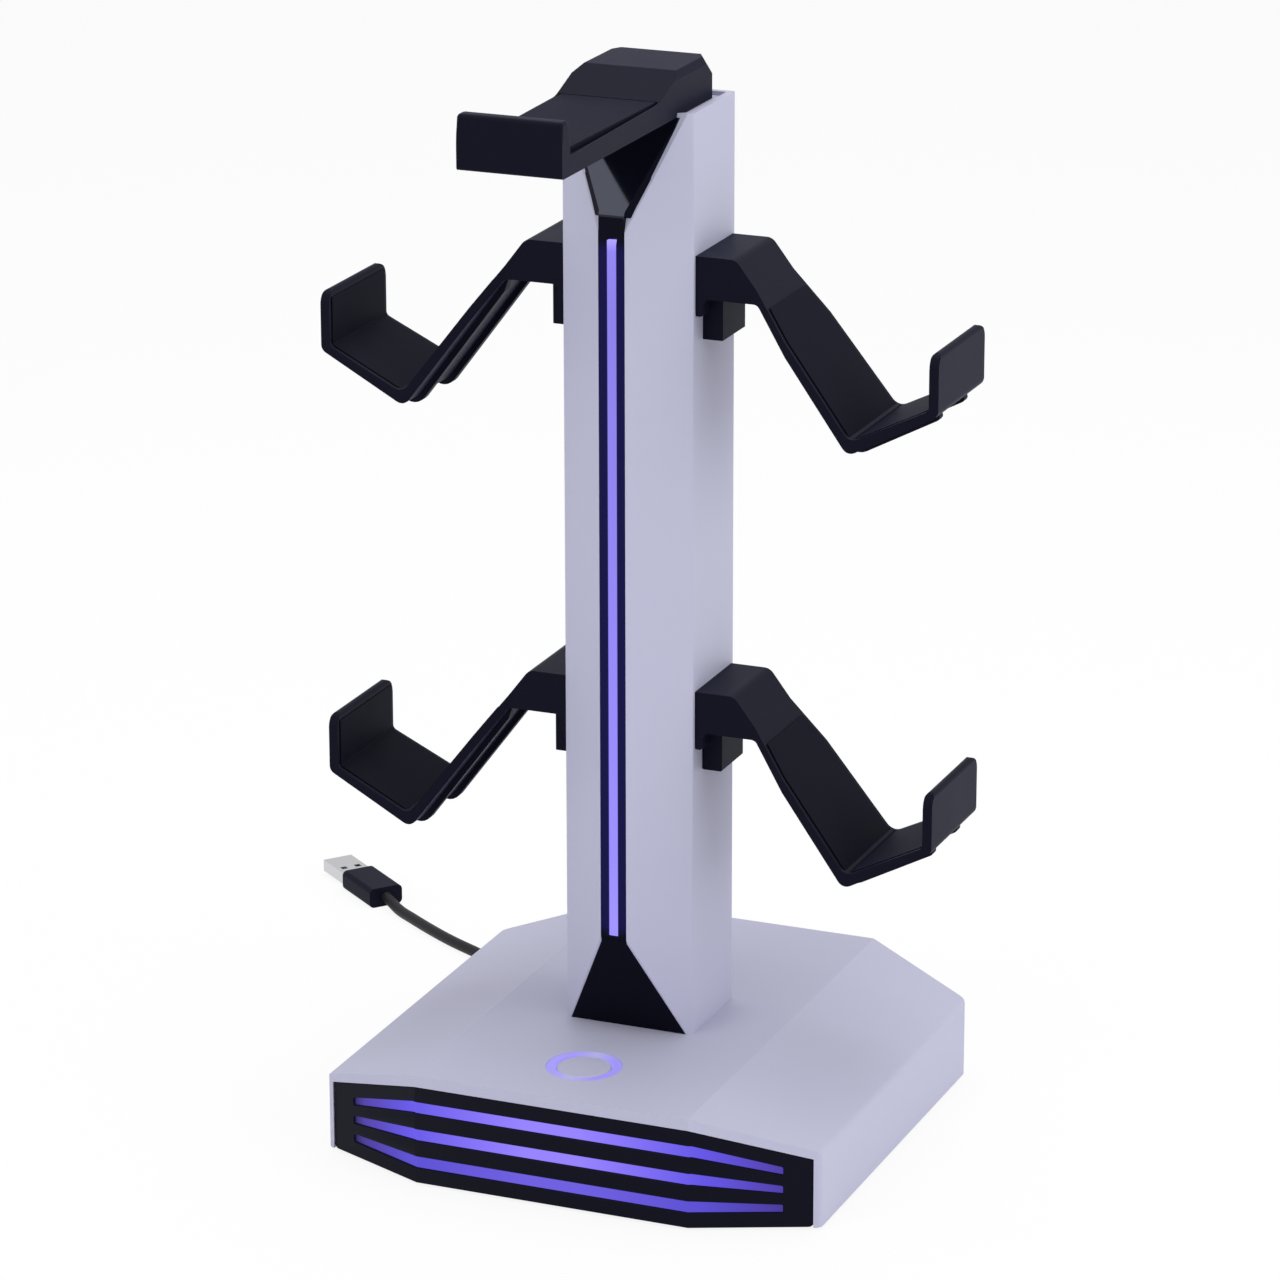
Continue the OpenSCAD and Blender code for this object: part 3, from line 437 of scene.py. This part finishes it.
class STAND_OT_camera(bpy.types.Operator):
    """Places the camera at the photograph's viewpoint"""

    bl_idname = "stand.camera"
    bl_label = "Camera"

    place = Vector((689.9, -1663.1, 770.7)) * MM
    target = Vector((-4.22, 14.0, 174.13)) * MM
    roll = math.radians(0.1)

    def execute(self, context):
        bpy.ops.object.camera_add(location=self.place)
        camera = context.active_object
        camera.name = "camera"
        turn = (self.target - self.place).to_track_quat("-Z", "Y")
        camera.rotation_euler = (turn.to_matrix() @ Matrix.Rotation(-self.roll, 3, "Z")).to_euler()
        camera.data.lens = settings()[2].lens
        camera.data.sensor_width = 36
        camera.data.clip_end = 50
        context.scene.camera = camera
        return {"FINISHED"}


class STAND_OT_lead(bpy.types.Operator):
    """Lays the lead from the base through its coil to the plug"""

    bl_idname = "stand.lead"
    bl_label = "Lead and plug"

    centre = Vector((-40, 144))
    gland_x = -10.6
    turns = 7.5
    step = 0.35
    lead_route = [(-10.6, 114.8, 9), (-10.6, 119.8, 8), (-10.6, 127, 5), (-10.6, 133, 3), (-10.6, 138, 2.1)]
    tail_route = [
        (-69.6, 138, 6), (-70.6, 131, 5), (-74, 124, 3.6), (-80, 119, 2.5), (-88, 116.4, 2.1), (-98, 117, 2.1),
        (-108, 120.6, 2.1), (-119, 126.4, 2.1), (-131, 133, 2.1), (-143, 140.7, 2.1), (-155, 149.2, 2.1),
        (-163, 155.2, 2.1), (-168, 159.2, 3), (-172, 162.4, 3.9),
    ]

    def coil(self, thick, rings, each):
        """Points of the coil: inwards in the lower layer, up, and outwards in the upper one."""
        inner = 4 * thick
        outer = inner + (rings - 1) * thick
        count = round(self.turns * each)
        for k in range(count + 1):
            turn = k / each
            whole, part = divmod(turn, 1)
            if turn < rings:
                shift = ease((part - 1 + self.step) / self.step)
                last = whole == rings - 1
                radius = outer - (whole + (0 if last else shift)) * thick
                height = thick / 2 + (shift * thick if last else 0)
            else:
                shift = ease((part - 0.3) / self.step)
                radius = inner + (whole - rings + shift) * thick
                height = 1.5 * thick
            angle = 2 * math.pi * turn
            yield (self.centre.x + min(radius, outer) * math.cos(angle),
                   self.centre.y + min(radius, outer) * math.sin(angle), height)

    def execute(self, context):
        lead = settings()[1]
        thick = lead.diameter / MM
        route = [*self.lead_route, *self.coil(thick, lead.rings, lead.turn_points), *self.tail_route]
        bpy.ops.curve.primitive_bezier_curve_add()
        cord = context.active_object
        cord.name = "lead"
        curve = cord.data
        curve.name = "lead"
        curve.splines.clear()
        line = curve.splines.new("BEZIER")
        line.bezier_points.add(len(route) - 1)
        for point, place in zip(line.bezier_points, route):
            point.co = Vector(place) * MM
            point.handle_left_type = point.handle_right_type = "AUTO"
        curve.resolution_u = 4
        curve.bevel_depth = lead.diameter / 2
        curve.bevel_resolution = 5
        curve.use_fill_caps = True
        wear(cord, cord_jacket())
        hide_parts("cord_lead", "cord_coil", "cord_tail")
        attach(cord, BODY)
        body = rounded("plug_body", "plug_grip", black_plastic(), 0.4 * MM)
        for node, finish in (
            ("plug_shell", metal("nickel", (0.62, 0.62, 0.64), 0.28, 0.3 * MM)),
            ("plug_tongue", grained("plug insert", (0.7, 0.7, 0.72), 0.45, 0.4 * MM, 0.01 * MM)),
            ("cord_gland", cord_jacket()),
        ):
            in_finish(node, finish)
        return {"FINISHED"}


def ease(t):
    """A soft step from 0 to 1."""
    t = min(max(t, 0), 1)
    return t * t * (3 - 2 * t)


class STAND_OT_base(bpy.types.Operator):
    """Makes the base: shell, front panel, lit stripes, plate and feet"""

    bl_idname = "stand.base"
    bl_label = "Base"

    def execute(self, context):
        finish = settings()[0]
        rounded("base_shell", "base_cover", white_shell(), finish.shell_edge, angle=16,
                first=[(2 * MM, self.front_corner)])
        rounded("front_panel", "panel", panel_black(), 0.4 * MM)
        self.stripes(finish)
        for node in ("base_plate", "mode_switch"):
            in_finish(node, black_plastic())
        for place in ("front_left", "front_right", "rear_left", "rear_right"):
            rounded(f"foot_{place}", f"rubber_foot_{place}", soft_pad(), 0.5 * MM)
        return {"FINISHED"}

    def front_corner(self, a, b):
        """The upright edges at the two outer corners of the front."""
        low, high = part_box("base_shell")
        upright = abs(a.z - b.z) > 15 * MM
        outer = min(abs(a.x), abs(b.x)) > high.x - 1 * MM
        return upright and outer and a.y < (low.y + high.y) / 2

    def stripes(self, finish):
        """The stripes are bright in the middle and fade at their ends, the lowest most."""
        low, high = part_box("stripe_low")
        for name, level in (("low", 0.8), ("mid", 1.0), ("high", 1.0)):
            ends = [c * level for c in finish.glow_end]
            most = [c * level for c in finish.glow]
            peak = [m + (c - m) * (1 if level == 1 else 0.25) for c, m in zip(finish.glow_mid, most)]
            material = lit(f"lit stripe {name}", "X", (low.x, high.x), [
                (0, [0.2 * c for c in ends]), (0.03, ends), (0.16, most), (0.44, peak),
                (0.56, peak), (0.84, most), (1, ends),
            ])
            in_finish(f"stripe_{name}", material)


class STAND_OT_button(bpy.types.Operator):
    """Makes the mode button and its lit ring"""

    bl_idname = "stand.button"
    bl_label = "Mode button"

    def execute(self, context):
        finish = settings()[0]
        rounded("mode_button", "button_cap", white_shell(), 0.5 * MM, angle=40, body="button")
        low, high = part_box("button_ring")
        red, green, blue = finish.glow_ring
        ring = lit("lit ring", "X", (low.x, high.x), [
            (0, finish.glow_ring), (0.25, (red, green, blue)),
            (0.5, (1.25 * red, 1.4 * green, 0.86 * blue)), (0.75, (red, green, blue)), (1, finish.glow_ring),
        ])
        in_finish("button_ring", ring)
        return {"FINISHED"}


class STAND_OT_post(bpy.types.Operator):
    """Makes the post: white halves, black band with its facets, light bar, back and cap"""

    bl_idname = "stand.post"
    bl_label = "Post"

    facets_above = 0.3
    long_edge = 60 * MM
    depth = 36.4 * MM
    painted_bar_glow = (0.004, 0.003, 0.05)

    def upright(self, a, b):
        """The long upright edges of a half."""
        return abs(a.z - b.z) > self.long_edge

    def notch_rim(self, a, b):
        """The slanting edges where a half's swept front ends at a facet."""
        low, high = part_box("post_right")
        slope = (high.y - self.depth - low.y) / (high.x - low.x)
        on_front = all(abs(low.y + (abs(p.x) - low.x) * slope - p.y) < 0.05 * MM for p in (a, b))
        return on_front and 5 * MM < abs(a.z - b.z) < self.long_edge and abs(a.x - b.x) > 5 * MM

    def facet_foot(self, a, b):
        """The edge across the band where the upper facet starts."""
        low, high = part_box("post_spine")
        level = abs(a.z - b.z) < 0.1 * MM
        return level and a.z > self.facets_above and a.z < high.z - 5 * MM and max(a.y, b.y) < low.y + 0.5 * MM

    def band(self, finish):
        """The black band, its facets drawn out to the white rims, with a painted blue glow over the bar's height that
        stands in for the bar's light falling on the band.
        """
        low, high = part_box("post_spine")
        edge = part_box("post_right")[0].x
        foot = (lambda p: p.z < low.z + 60 * MM, Vector((0, -0.1, 0)) * MM)
        front = low.y + 16.2 * MM
        moved = [foot]
        for way in SIDES.values():
            moved += [
                (lambda p, way=way: p.x * way > edge + 0.3 * MM, Vector((0.45 * way, 0, 0)) * MM),
                (lambda p, way=way: p.z > high.z - 0.2 * MM and p.x * way > 0,
                 Vector((-4.15 * way, -3.4, 0)) * MM),
                (lambda p, way=way: high.z - 4 * MM < p.z < high.z - 1.5 * MM and p.x * way > 20 * MM
                 and p.y < front, Vector((-5.25 * way, -3.15, 0)) * MM),
            ]
        band = rounded("post_spine", "post_band", gloss_black(), 0, moved=moved,
                       first=[(6 * MM, self.facet_foot)])
        low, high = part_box("post_bar")
        # Painted glow: the band gives off a faint blue light of its own over the bar's height, in place of the bar's
        # light falling on it.
        shine_out(band.data.materials[0], "Z", (low.z, high.z), [
            (0, (0, 0, 0)), (0.015, self.painted_bar_glow), (0.985, self.painted_bar_glow), (1, (0, 0, 0)),
        ])
        band.data.materials.append(facet_black())
        for face in band.data.polygons:
            if face.normal.z > 0.1 and face.center.z > self.facets_above:
                face.material_index = 1

    def execute(self, context):
        finish = settings()[0]
        for side in SIDES:
            rounded(f"post_{side}", f"post_shell_{side}", white_shell(), 0,
                    first=[(finish.shell_edge / 2, self.upright), (0.35 * MM, self.notch_rim)])
        rounded("post_back", "post_rear_cover", white_shell(), 0.4 * MM)
        rounded("post_cap", "post_top_cap", white_shell(), 0.4 * MM)
        self.band(finish)
        low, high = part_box("post_bar")
        bar = lit("lit bar", "Z", (low.z, high.z), [
            (0, [1.25 * c for c in finish.glow_bar]), (0.1, [1.15 * c for c in finish.glow_bar]),
            (0.5, finish.glow_bar), (0.9, [0.9 * c for c in finish.glow_bar]),
            (0.985, finish.glow_bar), (1, [1.6 * c for c in finish.glow_bar]),
        ])
        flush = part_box("post_right")[0].y + 0.1 * MM - low.y
        rounded("post_bar", "light_bar", bar, 0.2 * MM, moved=[
            (lambda p: p.y < (low.y + high.y) / 2, Vector((0, flush, 0))),
        ])
        return {"FINISHED"}


class STAND_OT_arms(bpy.types.Operator):
    """Makes the cradle arms, their pads and the sockets that carry them"""

    bl_idname = "stand.arms"
    bl_label = "Cradle arms"

    seam = 0.35 * MM
    proud = 0.45 * MM

    def pad(self, level, side, finish):
        """A cradle's pad, drawn in from its bed by the seam and folded softly at its two corners."""
        low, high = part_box(f"pad_{level}_{side}")
        middle = (low.y + high.y) / 2
        way = SIDES[side]
        start = min(abs(low.x), abs(high.x)) + 2 * MM
        across = 20 * MM
        rounded(
            f"pad_{level}_{side}", f"cradle_pad_{level}_{side}", soft_pad(), finish.pad_edge,
            moved=[
                (lambda p: p.y > middle, Vector((0, -self.seam, 0))),
                (lambda p: p.y < middle, Vector((0, self.seam, 0))),
                (lambda p: abs(p.x) < start, Vector((self.seam * way, 0, 0))),
            ],
            lifted=[(lambda n: abs(n.y) < 0.3 and (0.2 < n.z < 0.98 or n.x * way < -0.9), self.proud)],
            first=[(7 * MM, lambda a, b: abs(a.y - b.y) > across and max(a.z, b.z) < low.z + across
                    and abs(a.x) > start)],
        )

    def execute(self, context):
        finish = settings()[0]
        for level in LEVELS:
            for side in SIDES:
                rounded(f"arm_{level}_{side}", f"cradle_{level}_{side}", black_plastic(), finish.arm_edge)
                self.pad(level, side, finish)
                rounded(f"socket_{level}_{side}", f"arm_seat_{level}_{side}", black_plastic(), finish.arm_edge)
        return {"FINISHED"}


class STAND_OT_hanger(bpy.types.Operator):
    """Makes the headset hanger and its pad"""

    bl_idname = "stand.hanger"
    bl_label = "Headset hanger"

    def block_edge(self, a, b):
        """The edges of the block's bevelled sides."""
        low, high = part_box("hanger")
        outer = min(abs(a.x), abs(b.x)) > high.x - 2.2 * MM and a.x * b.x > 0
        return outer and min(a.z, b.z) > low.z + 10.5 * MM and min(a.y, b.y) > high.y - 32 * MM

    def lip_corner(self, a, b):
        """The edges of the lip's two upper corners."""
        low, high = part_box("hanger")
        on_side = min(abs(a.x), abs(b.x)) > high.x - 0.1 * MM and a.x * b.x > 0
        return on_side and min(a.z, b.z) > high.z - 2.6 * MM and max(a.y, b.y) < low.y + 8 * MM

    def execute(self, context):
        finish = settings()[0]
        rounded("hanger", "headset_hook", black_plastic(), 0.8 * MM, angle=25,
                first=[(1.2 * MM, self.block_edge), (2 * MM, self.lip_corner)])
        rounded("hanger_pad", "headset_pad", soft_pad(), finish.pad_edge)
        return {"FINISHED"}


class STAND_OT_inside(bpy.types.Operator):
    """Gives the pieces inside their finishes"""

    bl_idname = "stand.inside"
    bl_label = "Inside"

    def execute(self, context):
        zinc = metal("zinc", (0.55, 0.55, 0.57), 0.4, 0.5 * MM)
        board = grained("circuit board", (0.01, 0.09, 0.04), 0.35, 1 * MM, 0.02 * MM)
        for node in ("ballast", "base_screws", "post_core", "hanger_screws"):
            in_finish(node, zinc)
        for node in ("stripe_board", "main_board", "post_board"):
            in_finish(node, board)
        return {"FINISHED"}


class STAND_OT_stage(bpy.types.Operator):
    """Lays the floor and sets the light"""

    bl_idname = "stand.stage"
    bl_label = "Stage"

    shown = 0.88

    def floor(self):
        """A pale floor that shows white, with a soft share of the object's shadow."""
        bpy.ops.mesh.primitive_plane_add(size=40)
        floor = bpy.context.active_object
        floor.name = "floor"
        material = bpy.data.materials.new("floor")
        material.use_nodes = True
        n = Nodes(material.node_tree)
        material.node_tree.nodes.remove(material.node_tree.nodes["Principled BSDF"])
        out = material.node_tree.nodes["Material Output"]
        paint = n.add("ShaderNodeBsdfDiffuse")
        paint.inputs["Color"].default_value = (0.93, 0.93, 0.95, 1)
        glow = n.add("ShaderNodeEmission")
        seen = n.add("ShaderNodeLightPath")
        either = n.math("MAXIMUM", seen.outputs["Is Camera Ray"], seen.outputs["Is Glossy Ray"])
        either = n.math("MAXIMUM", either, seen.outputs["Is Transmission Ray"])
        blend = n.add("ShaderNodeMixShader")
        n.link(n.math("MULTIPLY", either, self.shown), blend.inputs["Fac"])
        n.link(paint.outputs[0], blend.inputs[1])
        n.link(glow.outputs[0], blend.inputs[2])
        n.link(blend.outputs[0], out.inputs["Surface"])
        wear(floor, material)

    def world(self, strength):
        """Even light from all round, which shows as white."""
        world = bpy.data.worlds.new("studio")
        bpy.context.scene.world = world
        world.use_nodes = True
        n = Nodes(world.node_tree)
        even = world.node_tree.nodes["Background"]
        even.inputs["Color"].default_value = (0.97, 0.97, 1.0, 1)
        even.inputs["Strength"].default_value = strength
        white = n.add("ShaderNodeBackground")
        seen = n.add("ShaderNodeLightPath")
        either = n.math("MAXIMUM", seen.outputs["Is Camera Ray"], seen.outputs["Is Glossy Ray"])
        either = n.math("MAXIMUM", either, seen.outputs["Is Transmission Ray"])
        blend = n.add("ShaderNodeMixShader")
        n.link(either, blend.inputs["Fac"])
        n.link(even.outputs[0], blend.inputs[1])
        n.link(white.outputs[0], blend.inputs[2])
        n.link(blend.outputs[0], world.node_tree.nodes["World Output"].inputs["Surface"])

    def softbox(self, name, place, size, power):
        """A square lamp that faces the stand's middle."""
        bpy.ops.object.light_add(type="AREA", location=place)
        lamp = bpy.context.active_object
        lamp.name = name
        lamp.data.size = size
        lamp.data.energy = power
        aim = Vector((0, 0, 0.18)) - Vector(place)
        lamp.rotation_euler = aim.to_track_quat("-Z", "Y").to_euler()

    def execute(self, context):
        stage = settings()[2]
        self.floor()
        self.world(stage.ambient)
        self.softbox("overhead", (0, 0.1, 1.6), 1.4, stage.overhead)
        self.softbox("side", (1.6, -0.2, 0.7), 1.2, stage.side)
        self.softbox("front", (-0.75, -1.4, 1.1), 1.0, stage.front)
        view = context.scene.view_settings
        view.view_transform = "Standard"
        return {"FINISHED"}


class STAND_PT_panel(bpy.types.Panel):
    """Lists the steps that build the stand"""

    bl_idname = "STAND_PT_panel"
    bl_label = "Controller stand"
    bl_space_type = "VIEW_3D"
    bl_region_type = "UI"
    bl_category = "Stand"

    def draw(self, context):
        for step in STEPS:
            self.layout.operator(step.bl_idname)
        for group in (context.scene.stand_finish, context.scene.stand_lead, context.scene.stand_stage):
            box = self.layout.box()
            for key in group.__annotations__:
                box.prop(group, key)


STEPS = (
    STAND_OT_camera, STAND_OT_lead, STAND_OT_base, STAND_OT_button, STAND_OT_post, STAND_OT_arms,
    STAND_OT_hanger, STAND_OT_inside, STAND_OT_stage,
)
GROUPS = {"stand_finish": StandFinish, "stand_lead": StandLead, "stand_stage": StandStage}


def register():
    """Registers the groups, steps and panel."""
    for name, group in GROUPS.items():
        bpy.utils.register_class(group)
        setattr(bpy.types.Scene, name, PointerProperty(type=group))
    for step in STEPS:
        bpy.utils.register_class(step)
    bpy.utils.register_class(STAND_PT_panel)


def unregister():
    """Takes them out again."""
    bpy.utils.unregister_class(STAND_PT_panel)
    for step in reversed(STEPS):
        bpy.utils.unregister_class(step)
    for name, group in GROUPS.items():
        delattr(bpy.types.Scene, name)
        bpy.utils.unregister_class(group)


def main():
    """Builds everything."""
    register()
    bpy.ops.stand.camera()
    bpy.ops.stand.lead()
    bpy.ops.stand.base()
    bpy.ops.stand.button()
    bpy.ops.stand.post()
    bpy.ops.stand.arms()
    bpy.ops.stand.hanger()
    bpy.ops.stand.inside()
    bpy.ops.stand.stage()
    bpy.context.view_layer.update()


if __name__ == "__main__":
    main()
